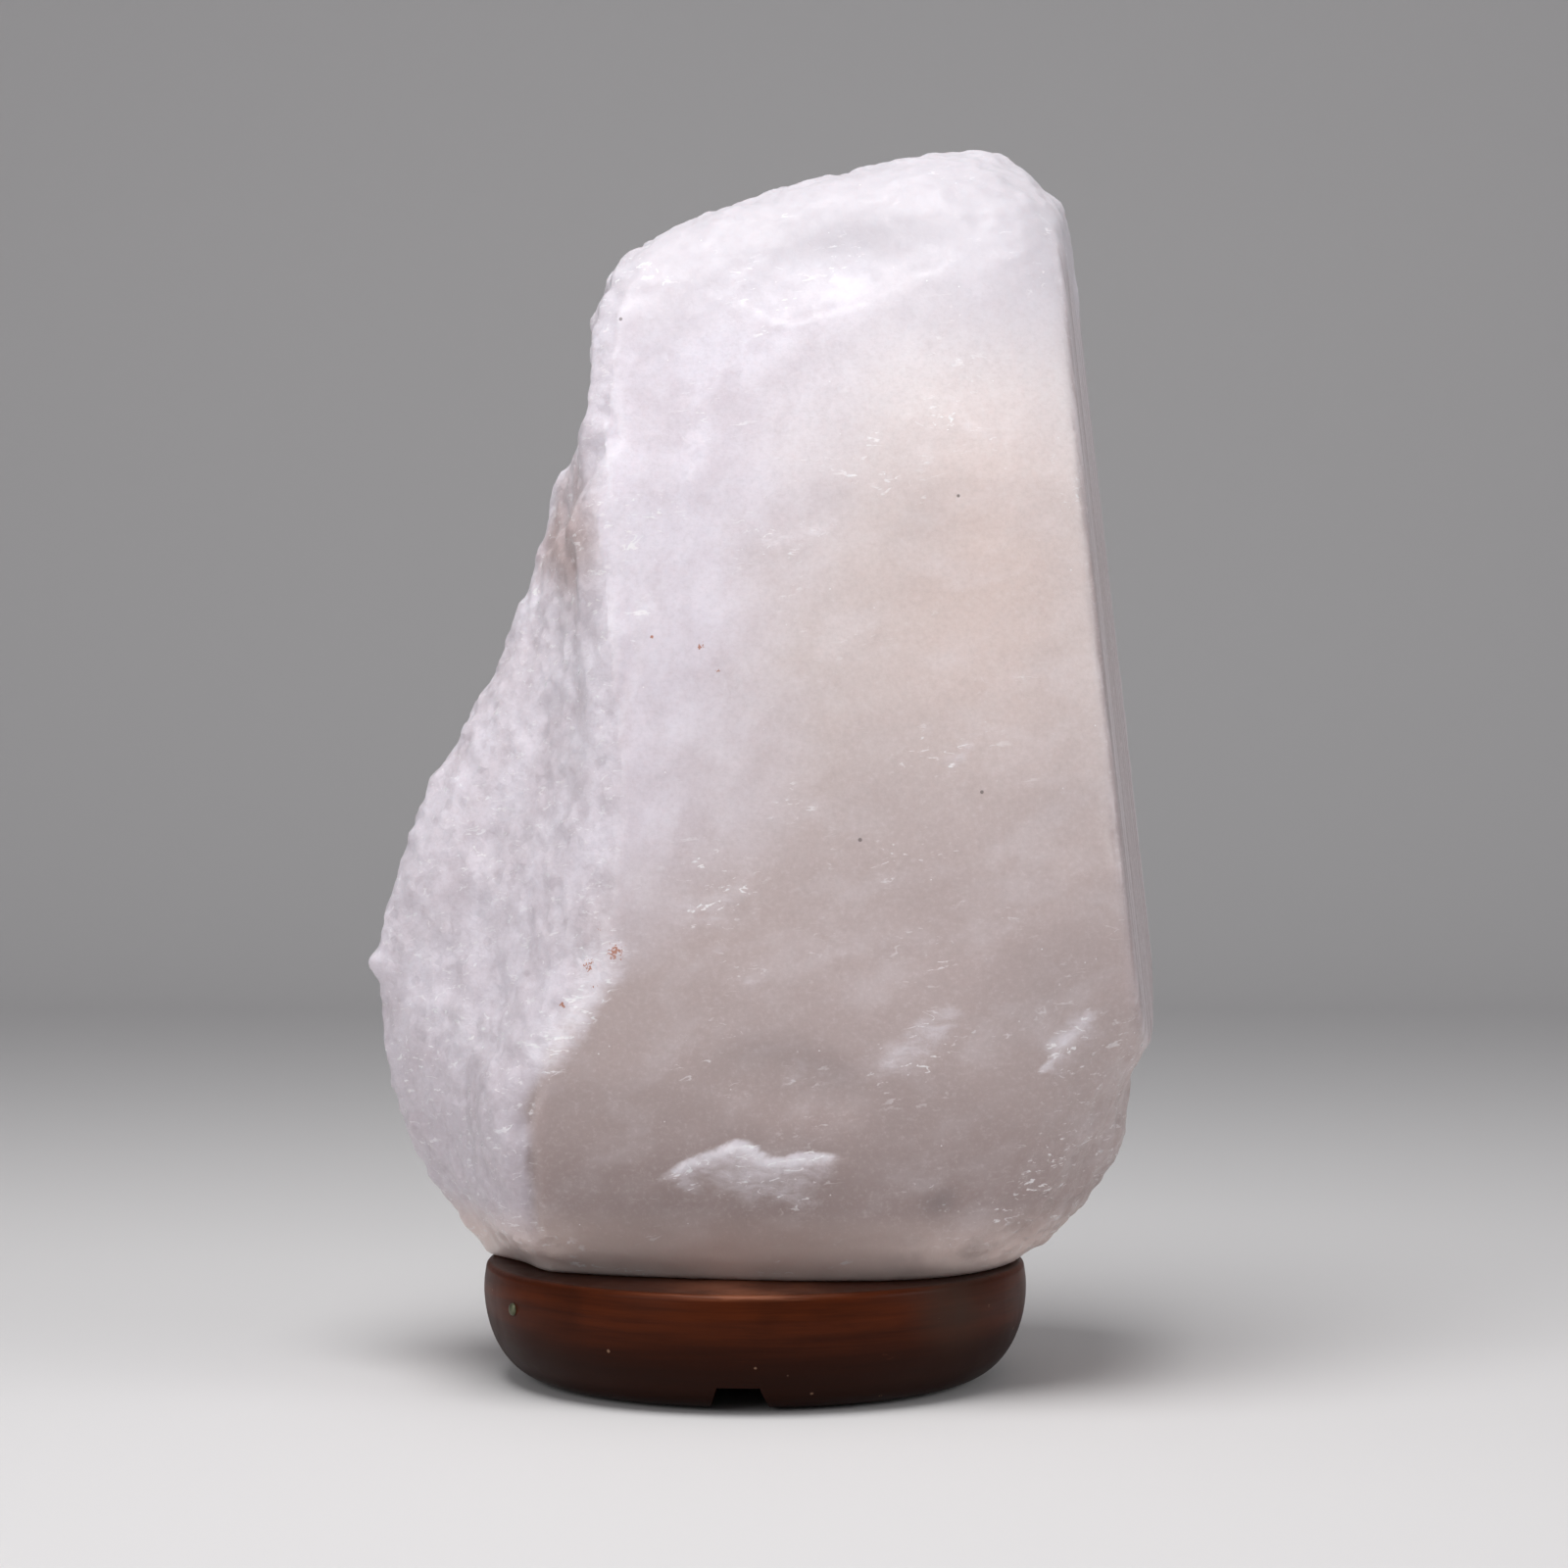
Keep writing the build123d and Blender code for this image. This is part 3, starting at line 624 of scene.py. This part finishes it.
def crystal():
    block = copy_of_node("salt_crystal", "rock_salt_block")
    mesh = remeshed(block, CRYSTAL_VOXEL).data
    points = points_of(mesh)
    edges = edges_of(mesh)
    free = (~fitted(points)).astype(float)
    sawn = on_sawn_face(points, normals_of(mesh))
    rough = free * (1 - sawn)
    sawn = relaxed(sawn[:, None], edges, np.ones(len(points)), SAW_EDGE_ROUNDS)[:, 0]

    points = relaxed(points, edges, 0.5 * free, ALL_ROUNDS)
    points = relaxed(points, edges, 0.5 * rough, ROUGH_ROUNDS)
    set_points(mesh, points)
    worn = wear(points, normals_of(mesh))
    points = relaxed(points, edges, 0.6 * rough * worn, WORN_ROUNDS)
    set_points(mesh, points)

    facing = normals_of(mesh)
    left, top, front, broken = sides_of(points, facing)
    open_face = rough * ramp(points[:, 2], BASE_HEIGHT + FOOT_MARGIN, BASE_HEIGHT + FOOT_FADE)
    features, frost = drawn(points, front, left)
    height = (flaked(points, facing, top, broken) + features) * open_face
    marks = saw_marks(points) * sawn
    smooth = points
    points = smooth + facing * height[:, None] + np.outer(marks, saw_normal())
    set_points(mesh, points)

    store(mesh, "broken", broken * open_face)
    store(mesh, "pale", pale_side(points, smooth))
    # the brownish patch: painted shade on a facet turned away from the light
    store(mesh, "brown_shade", brown_shade_patch(points, smooth) * left)
    store(mesh, "frost", frost * open_face)
    store(mesh, "sawn", sawn)
    mesh.materials.clear()
    mesh.materials.append(rock_salt_material())
    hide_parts("salt_crystal")
    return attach(block, "lamp")


# ------------------------------------------------------------------ bulb cap


def threaded_cap(material):
    """The bulb's cap: a thin shell with a rolled right-hand thread under a plain collar."""
    low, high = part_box("bulb_cap")
    foot, top, radius = low.z / MM, high.z / MM, high.x / MM
    collar = top - CAP_COLLAR
    angle, height = np.meshgrid(
        np.linspace(0, 2 * np.pi, CAP_AROUND, endpoint=False), np.linspace(foot, top, CAP_ROWS)
    )
    wave = 0.5 - 0.5 * np.sin(2 * np.pi * height / THREAD_PITCH - angle)
    fade = ramp(height, foot, foot + THREAD_LEAD) * ramp(height, collar + THREAD_END, collar)
    outer = radius - THREAD_DEPTH * wave * fade
    skins = [
        np.stack([r * np.cos(angle), r * np.sin(angle), height], axis=-1).reshape(-1, 3)
        for r in (outer, outer - THREAD_WALL)
    ]
    inside = CAP_AROUND * CAP_ROWS
    last = inside - CAP_AROUND
    faces = []
    for i in range(CAP_AROUND):
        j = (i + 1) % CAP_AROUND
        for row in range(0, last, CAP_AROUND):
            a, b = row + i, row + j
            c, d = b + CAP_AROUND, a + CAP_AROUND
            faces.append((a, b, c, d))
            faces.append((d + inside, c + inside, b + inside, a + inside))
        faces.append((i + inside, j + inside, j, i))
        faces.append((last + i, last + j, last + j + inside, last + i + inside))
    cap = smooth_object("bulb_cap_threaded", (np.concatenate(skins) * MM).tolist(), faces)
    cap.data.materials.append(material)
    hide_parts("bulb_cap")
    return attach(cap, "bulb")


# ------------------------------------------------------------------ materials


class Nodes:
    """A material's node tree with short ways to add and join nodes."""

    def __init__(self, name):
        self.material = bpy.data.materials.new(name)
        self.material.use_nodes = True
        self.tree = self.material.node_tree
        self.shader = self.tree.nodes["Principled BSDF"]
        self.place = self.new("TexCoord").outputs["Object"]

    def new(self, kind, **settings):
        node = self.tree.nodes.new("ShaderNode" + kind)
        for name, value in settings.items():
            setattr(node, name, value)
        return node

    def feed(self, socket, value):
        """Joins a socket to a socket, or sets it to a number, vector or colour."""
        if isinstance(value, bpy.types.NodeSocket):
            self.tree.links.new(value, socket)
        else:
            socket.default_value = value

    def fill(self, node, **values):
        """Feeds a node's inputs, named in small letters with underscores for spaces."""
        for name, value in values.items():
            words = name.replace("_", " ").title().replace("Ior", "IOR")
            self.feed(node.inputs[words], value)
        return node

    def set(self, **values):
        """Feeds the shader's inputs and gives the material."""
        self.fill(self.shader, **values)
        return self.material

    def moved(self, scale, lean=0.0):
        """Places leant about Y by an angle, then stretched."""
        leant = self.fill(self.new("Mapping"), vector=self.place, rotation=(0, lean, 0))
        squeezed = self.fill(self.new("Mapping"), vector=leant.outputs[0], scale=scale)
        return squeezed.outputs[0]

    def vectors(self, operation, first, second=None, **values):
        node = self.fill(self.new("VectorMath", operation=operation), **values)
        self.feed(node.inputs[0], first)
        if second is not None:
            self.feed(node.inputs[1], second)
        return node.outputs

    def shards(self, size, strength, normal, scale):
        """A normal tilted at random from one small crystal face to the next."""
        shades = self.cells(size, "Color", place=self.moved(scale))
        tilt = self.vectors("SUBTRACT", shades, (0.5, 0.5, 0.5))[0]
        weighted = self.vectors("SCALE", tilt, scale=strength)[0]
        total = self.vectors("ADD", weighted, normal)[0]
        return self.vectors("NORMALIZE", total)[0]

    def noise(self, size, detail=3.0, rough=0.55, place=None, warp=0.0):
        """Noise in 0..1 whose features are about size millimetres across."""
        node = self.fill(
            self.new("TexNoise"),
            vector=place or self.place,
            scale=1 / (size * MM),
            detail=detail,
            roughness=rough,
            distortion=warp,
        )
        return node.outputs["Fac"]

    def cells(self, size, output="Distance", feature="F1", place=None):
        """Cells about size millimetres across: how far off their centres are, or their colours."""
        node = self.new("TexVoronoi", feature=feature)
        self.fill(node, vector=place or self.place, scale=1 / (size * MM))
        return node.outputs[output]

    def maths(self, operation, first, second=0.0):
        node = self.new("Math", operation=operation)
        self.feed(node.inputs[0], first)
        self.feed(node.inputs[1], second)
        return node.outputs[0]

    def times(self, first, second):
        return self.maths("MULTIPLY", first, second)

    def plus(self, first, second):
        return self.maths("ADD", first, second)

    def minus(self, first, second):
        return self.maths("SUBTRACT", first, second)

    def spread(self, value, low, high, to_low=0.0, to_high=1.0):
        """Maps low..high to to_low..to_high, clamped and smooth."""
        node = self.new("MapRange", interpolation_type="SMOOTHSTEP")
        self.fill(node, value=value, from_min=low, from_max=high, to_min=to_low, to_max=to_high)
        return node.outputs["Result"]

    def mix(self, amount, first, second):
        node = self.new("Mix", data_type="RGBA")
        return self.fill(node, factor=amount, a=first, b=second).outputs["Result"]

    def attribute(self, name):
        return self.new("Attribute", attribute_name=name).outputs["Fac"]

    def axis(self, which, place=None):
        node = self.fill(self.new("SeparateXYZ"), vector=place or self.place)
        return node.outputs[which]

    def near(self, x, z, radius, squash=1.0):
        """1 at a place in the front view, in millimetres, fading to 0 at the radius.  Squash is
        how much narrower the spot is than tall."""
        centre = (x * MM / squash, 0, z * MM)
        distance = self.vectors("DISTANCE", self.moved((1 / squash, 0, 1)), centre)["Value"]
        front = self.spread(self.axis("Y"), 0.0, -10 * MM)
        return self.times(front, self.spread(distance, radius * MM, 0.0))

    def bump(self, height, strength, distance, normal=None):
        node = self.fill(
            self.new("Bump"), strength=strength, distance=distance * MM, height=height
        )
        if normal is not None:
            self.fill(node, normal=normal)
        return node.outputs["Normal"]


def salt_body(salt, height, pale, veil):
    """Tone of the body: warm grey at the foot, peach in the middle, near white at the top, and
    lilac white, streaked along the grain, on the broken left face.  Part of the darkening towards
    the foot is painted shade, the brownish patch is painted shade, the grey at the very top is
    painted shade under the overhead lamp and the foot's glow is painted light."""
    clouds = salt.noise(30, detail=3, rough=0.45, warp=0.3)
    mottle = salt.noise(1.2, detail=5, rough=0.75, place=salt.moved((1, 0.5, 1.2)))
    # darker towards the foot: partly painted shade, standing in for the light falling off downwards
    tone = salt.mix(salt.spread(height, 30 * MM, 90 * MM), SALT["foot"], SALT["low"])
    tone = salt.mix(salt.spread(height, 85 * MM, 165 * MM), tone, SALT["middle"])
    tone = salt.mix(salt.spread(height, 160 * MM, 225 * MM), tone, SALT["upper"])
    peach = salt.times(salt.near(*PEACH_PATCH), salt.spread(clouds, 0.2, 0.6, 0.4, 1))
    tone = salt.mix(salt.times(peach, 0.42), tone, SALT["peach"])
    tone = salt.mix(salt.spread(clouds, 0.60, 0.30, 0.0, 0.12), tone, SALT["shade"])

    leant = salt.moved((1, 1, 0.75), GRAIN_LEAN)
    streaks = salt.noise(11.0, detail=5, rough=0.5, place=leant, warp=0.4)
    lilac = salt.mix(salt.spread(streaks, 0.3, 0.7), SALT["lilac"], SALT["pale lilac"])
    lilac = salt.mix(salt.spread(height, 100 * MM, 30 * MM, 0, 0.6), lilac, SALT["low lilac"])
    tone = salt.mix(salt.times(pale, 0.85), tone, lilac)
    # painted shade, brownish, on the facet high on the left that faces away from the light
    tone = salt.mix(salt.times(salt.attribute("brown_shade"), 0.8), tone, SALT["brown_shade"])

    tone = salt.mix(salt.spread(veil, 0.44, 0.74, 0.0, 0.15), tone, SALT["veil"])
    tone = salt.mix(salt.spread(mottle, 0.30, 0.55, 0.12, 0.0), tone, SALT["dark grain"])
    tone = salt.mix(salt.spread(mottle, 0.50, 0.75, 0.0, 0.18), tone, SALT["pale grain"])
    # painted shade: the top greyed down where the overhead lamp lights it most
    tone = salt.mix(salt.spread(height, 205 * MM, 245 * MM, 0.0, 0.85), tone, SALT["top"])
    # painted light: the foot of the crystal lightened as though light came through the salt there
    painted_foot_glow = salt.spread(height, 41 * MM, 28 * MM, 0.0, 0.9)
    return salt.mix(painted_foot_glow, tone, SALT["painted foot glow"])


def salt_painted_glints(salt, fresh, broken):
    """Painted glints: short thin white strokes in loose clusters, more of them where there is
    frost, and sparks, where small crystal faces would catch the light.
    """
    flat = salt.moved((0.55, 0.55, 1.6), 0.1)
    strokes = salt.noise(4.2, detail=2, rough=0.5, place=flat, warp=0.8)
    from_middle = salt.maths("ABSOLUTE", salt.minus(strokes, 0.5))
    stroke = salt.spread(from_middle, 0.035, 0.015)
    broken_up = salt.spread(salt.noise(2.4, detail=3, rough=0.7, place=flat), 0.54, 0.60)
    cluster = salt.spread(salt.noise(17, detail=3, rough=0.6), 0.52, 0.70, 0.0, 0.8)
    for patch in PAINTED_GLINT_PATCHES:
        cluster = salt.plus(cluster, salt.near(*patch))
    cluster = salt.plus(cluster, salt.spread(fresh, 0.05, 0.5))
    cluster = salt.plus(cluster, salt.times(broken, 0.6))
    painted_glint = salt.times(salt.times(stroke, broken_up), cluster)
    sparks = salt.spread(salt.cells(2.2), 0.10, 0.04)
    picked = salt.spread(salt.axis("X", salt.cells(2.2, "Color")), 0.91, 0.94)
    painted_glint = salt.maths("MAXIMUM", painted_glint, salt.times(sparks, picked))
    return salt.maths("MINIMUM", painted_glint, 1.0)


def salt_marks(salt, tone, veil):
    """The tone with its rust, dark specks and greyish inclusions near the foot."""
    grit = salt.times(salt.noise(0.9, detail=3, rough=0.7), 3.0)
    for x, z, radius in RUST_SPOTS:
        ragged = salt.spread(salt.plus(salt.near(x, z, 2.0 * radius), grit), 2.35, 2.6)
        spot = salt.times(ragged, salt.near(x, z, 1.6 * radius))
        tone = salt.mix(salt.times(salt.spread(spot, 0.05, 0.35), 0.8), tone, SALT["rust"])
    for x, z, radius in DARK_DOTS:
        dot = salt.spread(salt.near(x, z, 2 * radius), 0.35, 0.65)
        tone = salt.mix(salt.times(dot, 0.7), tone, SALT["dark dot"])
    for place in GREY_CLOUDS:
        cloud = salt.times(salt.near(*place), salt.spread(veil, 0.7, 0.35))
        tone = salt.mix(salt.times(cloud, 0.45), tone, SALT["grey cloud"])
    return tone


def rock_salt_material():
    salt = Nodes("rock_salt")
    broken = salt.attribute("broken")
    pale = salt.attribute("pale")
    fresh = salt.attribute("frost")
    sawn = salt.attribute("sawn")
    height = salt.axis("Z")
    veil = salt.noise(15, detail=5, rough=0.55, place=salt.moved((1, 1, 1.7), 0.25), warp=0.35)
    tone = salt_body(salt, height, pale, veil)

    # frost where a break is fresh, cloudy at its edges
    flakes = salt.noise(4.5, detail=6, rough=0.7, place=salt.moved((0.7, 0.7, 1.5)), warp=0.4)
    cloudy = salt.plus(fresh, salt.times(salt.minus(flakes, 0.5), 1.3))
    frost = salt.times(salt.spread(cloudy, 0.1, 1.1), salt.spread(fresh, 0.0, 0.4))
    tone = salt.mix(salt.times(frost, 0.8), tone, SALT["frost"])

    # painted glints: white strokes and sparks put into the colour
    painted_glint = salt_painted_glints(salt, fresh, broken)
    tone = salt.mix(salt.times(painted_glint, 0.75), tone, SALT["painted_glint"])
    tone = salt_marks(salt, tone, veil)

    # the sawn face: greyer, with upright lines left by the saw
    lines = salt.noise(6.0, detail=4, rough=0.7, place=salt.moved((1, 1, 0.012), radians(SAW_LEAN)))
    speckle = salt.noise(1.0, detail=3, rough=0.7, place=salt.moved((1, 0.3, 1)))
    saw_tone = salt.mix(salt.spread(lines, 0.38, 0.60), SALT["saw dark"], SALT["saw pale"])
    speckled = salt.spread(speckle, 0.50, 0.75, 0.0, 0.45)
    saw_tone = salt.mix(speckled, saw_tone, SALT["saw speckle"])
    tone = salt.mix(salt.times(sawn, 0.8), tone, saw_tone)

    # relief: sugary grain everywhere, crystal faces and torn edges on the breaks
    sides = salt.maths("MAXIMUM", broken, salt.times(pale, 0.12))
    grain = salt.noise(0.7, detail=4, rough=0.6)
    crumbs = salt.noise(3.0, detail=7, rough=0.7, place=salt.moved(DEEP), warp=0.3)
    torn = salt.cells(4.2, feature="SMOOTH_F1", place=salt.moved(DEEP, GRAIN_LEAN))
    normal = salt.bump(grain, strength=0.2, distance=0.12)
    crumbled = salt.times(salt.plus(sides, 0.2), crumbs)
    normal = salt.bump(crumbled, strength=0.35, distance=0.7, normal=normal)
    normal = salt.bump(salt.times(sides, torn), strength=0.28, distance=0.8, normal=normal)
    normal = salt.bump(salt.times(frost, flakes), strength=0.4, distance=0.6, normal=normal)
    normal = salt.bump(salt.times(sawn, lines), strength=0.2, distance=0.3, normal=normal)
    tilt = salt.plus(salt.times(sides, 0.2), salt.times(frost, 0.25))
    normal = salt.shards(1.8, salt.plus(tilt, 0.04), normal, DEEP)

    rough = salt.spread(salt.noise(2.4, detail=3), 0.35, 0.7, 0.34, 0.5)
    rough = salt.plus(rough, salt.spread(height, 200 * MM, 240 * MM, 0.0, 0.12))
    rough = salt.minus(rough, salt.times(painted_glint, 0.2))
    return salt.set(
        base_color=tone,
        subsurface_weight=salt.spread(sides, 0.0, 1.0, 0.62, 0.42),
        subsurface_radius=(1.0, 0.84, 0.82),
        subsurface_scale=salt.spread(sides, 0.0, 1.0, 7 * MM, 4 * MM),
        roughness=rough,
        normal=normal,
        coat_weight=0.06,
        coat_roughness=0.25,
    )


def stained_wood_material():
    """Turned hardwood under a dark reddish stain: the grain hardly shows."""
    wood = Nodes("stained_wood")
    height = wood.axis("Z")
    rings = wood.noise(2.6, detail=4, rough=0.6, place=wood.moved((0.05, 0.05, 1.0)))
    fine = wood.noise(0.5, detail=3, rough=0.6, place=wood.moved((0.04, 0.04, 1.0)))
    blotch = wood.noise(24, detail=4, rough=0.6, warp=0.6)
    scuffs = wood.noise(5.0, detail=6, rough=0.72, place=wood.moved((0.6, 0.6, 1.6)), warp=1.5)
    tone = wood.mix(wood.spread(rings, 0.32, 0.68), WOOD["ring"], WOOD["between rings"])
    # painted shade: the lower part of the puck darkened towards its foot
    tone = wood.mix(wood.spread(height, 20 * MM, 8 * MM, 0, 0.9), tone, WOOD["foot"])
    tone = wood.mix(wood.spread(blotch, 0.45, 0.75, 0, 0.4), tone, WOOD["blotch"])
    tone = wood.mix(wood.spread(fine, 0.5, 0.8, 0, 0.3), tone, WOOD["fine line"])
    stain = wood.times(wood.near(*WOOD_STAIN), wood.spread(blotch, 0.3, 0.55, 0.4, 1))
    tone = wood.mix(wood.times(stain, 0.8), tone, WOOD["stain"])
    # the top face under the crystal: partly its darker finish, partly painted contact shadow of the
    # crystal
    seat = wood.spread(height, (BASE_HEIGHT - 0.2) * MM, BASE_HEIGHT * MM)
    tone = wood.mix(wood.times(seat, 0.6), tone, WOOD["seat"])
    # painted highlight: a light line along the front of the rim
    rim = wood.times(wood.near(*WOOD_RIM_HIGHLIGHT), wood.spread(fine, 0.35, 0.6, 0.3, 1))
    tone = wood.mix(wood.times(rim, 0.75), tone, WOOD["rim"])
    grains = wood.spread(wood.cells(6), 0.075, 0.045)
    dust = wood.times(grains, wood.spread(scuffs, 0.5, 0.52))
    tone = wood.mix(wood.times(dust, 0.7), tone, WOOD["dust"])
    tone = wood.mix(wood.spread(scuffs, 0.66, 0.78, 0, 0.3), tone, WOOD["scuff"])
    normal = wood.bump(rings, strength=0.12, distance=0.15)
    normal = wood.bump(fine, strength=0.15, distance=0.08, normal=normal)
    return wood.set(
        base_color=tone,
        roughness=wood.spread(blotch, 0.3, 0.7, 0.34, 0.48),
        specular_ior_level=0.07,
        normal=normal,
        coat_weight=0.03,
        coat_roughness=0.18,
    )


def plain_material(name, tone, dark_tone, metallic, roughness):
    """A finish with fine mottling in its colour and roughness and a faint bump."""
    made = Nodes(name)
    mottle = made.noise(2.4, detail=4, rough=0.6)
    fine = made.noise(0.6, detail=3, rough=0.6)
    return made.set(
        base_color=made.mix(made.spread(mottle, 0.35, 0.7, 0.0, 0.5), tone, dark_tone),
        metallic=metallic,
        roughness=made.spread(fine, 0.3, 0.7, roughness * 0.8, min(1.0, roughness * 1.2)),
        normal=made.bump(fine, strength=0.15, distance=0.05),
    )


def glass_material():
    glass = Nodes("clear_glass")
    return glass.set(
        base_color=colour(240, 246, 246),
        roughness=0.03,
        transmission_weight=1.0,
        ior=1.45,
        normal=glass.bump(glass.noise(8, detail=2), strength=0.05, distance=0.05),
    )


def give(material, nodes):
    for node in nodes:
        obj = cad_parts[node]
        obj.data.materials.clear()
        obj.data.materials.append(material)


def finish_nodes():
    """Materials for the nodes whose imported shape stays, and the threaded cap in place of the
    bulb's plain one."""
    for name, (tone, dark_tone, metallic, roughness, nodes) in PLAIN_FINISHES.items():
        give(plain_material(name, tone, dark_tone, metallic, roughness), nodes)
    give(glass_material(), ("bulb_glass", "glass_stem"))
    give(stained_wood_material(), ("wood_base",))
    threaded_cap(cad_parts["bulb_cap"].data.materials[0])


# ------------------------------------------------------------------ stage, lights, camera


def see_through(made):
    """Lets the camera look up through a surface from behind."""
    mixed = made.new("MixShader")
    behind = made.new("NewGeometry").outputs["Backfacing"]
    clear = made.new("BsdfTransparent").outputs["BSDF"]
    made.feed(mixed.inputs["Fac"], behind)
    made.feed(mixed.inputs[1], made.shader.outputs["BSDF"])
    made.feed(mixed.inputs[2], clear)
    made.fill(made.tree.nodes["Material Output"], surface=mixed.outputs["Shader"])


def stage():
    """A pale floor that curves up into a pale backdrop."""
    profile = [(FLOOR_FRONT, 0.0), (FLOOR_BACK, 0.0)]
    for step in range(1, BEND_STEPS + 1):
        angle = radians(90 * step / BEND_STEPS)
        profile.append((FLOOR_BACK + FLOOR_BEND * sin(angle), FLOOR_BEND * (1 - cos(angle))))
    profile.append((FLOOR_BACK + FLOOR_BEND, BACKDROP_HEIGHT))
    points = [(side * FLOOR_HALF_WIDTH, y, z) for y, z in profile for side in (-1, 1)]
    faces = [(2 * i, 2 * i + 1, 2 * i + 3, 2 * i + 2) for i in range(len(profile) - 1)]
    sweep = smooth_object("studio_sweep", points, faces)
    paper = Nodes("pale_paper")
    sweep.data.materials.append(paper.set(base_color=PAPER, roughness=0.9))
    see_through(paper)
    # the floor stays under the lampholder when that is pulled out
    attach(sweep, "lampholder")


def lights():
    for name, place, size, power in LIGHTS:
        lamp = bpy.data.lights.new(name, "AREA")
        lamp.shape = "DISK"
        lamp.size = size
        lamp.energy = power
        obj = placed(name, lamp)
        obj.location = place
        aim = Vector(LIGHTS_AIM) - Vector(place)
        obj.rotation_euler = aim.to_track_quat("-Z", "Y").to_euler()
    world = bpy.data.worlds.new("studio")
    world.use_nodes = True
    background = world.node_tree.nodes["Background"]
    background.inputs["Color"].default_value = STUDIO_AIR
    background.inputs["Strength"].default_value = STUDIO_STRENGTH
    bpy.context.scene.world = world
    bpy.context.scene.view_settings.view_transform = "Standard"


def camera():
    lens = bpy.data.cameras.new("camera")
    lens.lens = CAMERA_LENS
    lens.sensor_width = CAMERA_SENSOR
    lens.clip_start = 0.01
    obj = placed("camera", lens)
    obj.location = (CAMERA_SIDE * MM, -CAMERA_DISTANCE * MM, CAMERA_HEIGHT * MM)
    obj.rotation_euler = (radians(90), 0, 0)
    bpy.context.scene.camera = obj


crystal()
finish_nodes()
stage()
lights()
camera()
